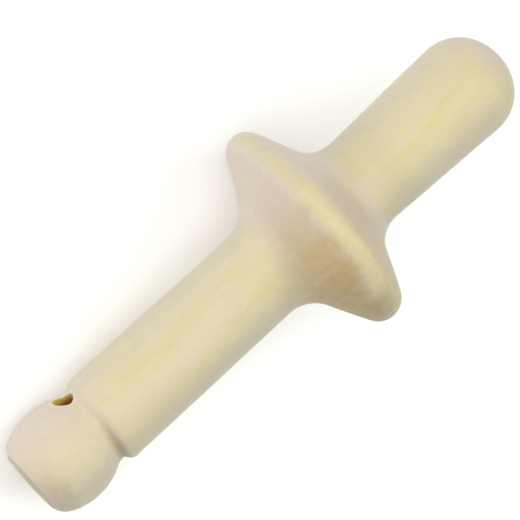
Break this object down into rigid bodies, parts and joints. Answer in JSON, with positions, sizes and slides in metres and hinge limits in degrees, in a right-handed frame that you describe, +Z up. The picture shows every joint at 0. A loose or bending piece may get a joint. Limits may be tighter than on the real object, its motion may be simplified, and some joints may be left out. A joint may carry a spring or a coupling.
{
  "type": "turned wooden training bumper",
  "caption": "One-piece turned wooden training bumper: round knob with a cord hole at its neck, long handle, wide double-cone guard and short domed nose.",
  "frame": {"origin": "on the floor under the middle of the resting body's box", "axes": "+X along the body from the knob towards the domed nose, +Y along the cord hole, +Z up; the body lies on its knob and on the rim of its guard, so its turning axis rises 10.86 degrees towards +X"},
  "size_m": [0.2542, 0.0964, 0.0949],
  "materials": {
    "bare_wood": "unfinished pale wood, fine sanded and matt, with faint yellow side grain and greyer end grain"
  },
  "bodies": {
    "root": {"turned_body": "bare_wood"}
  },
  "joints": []
}
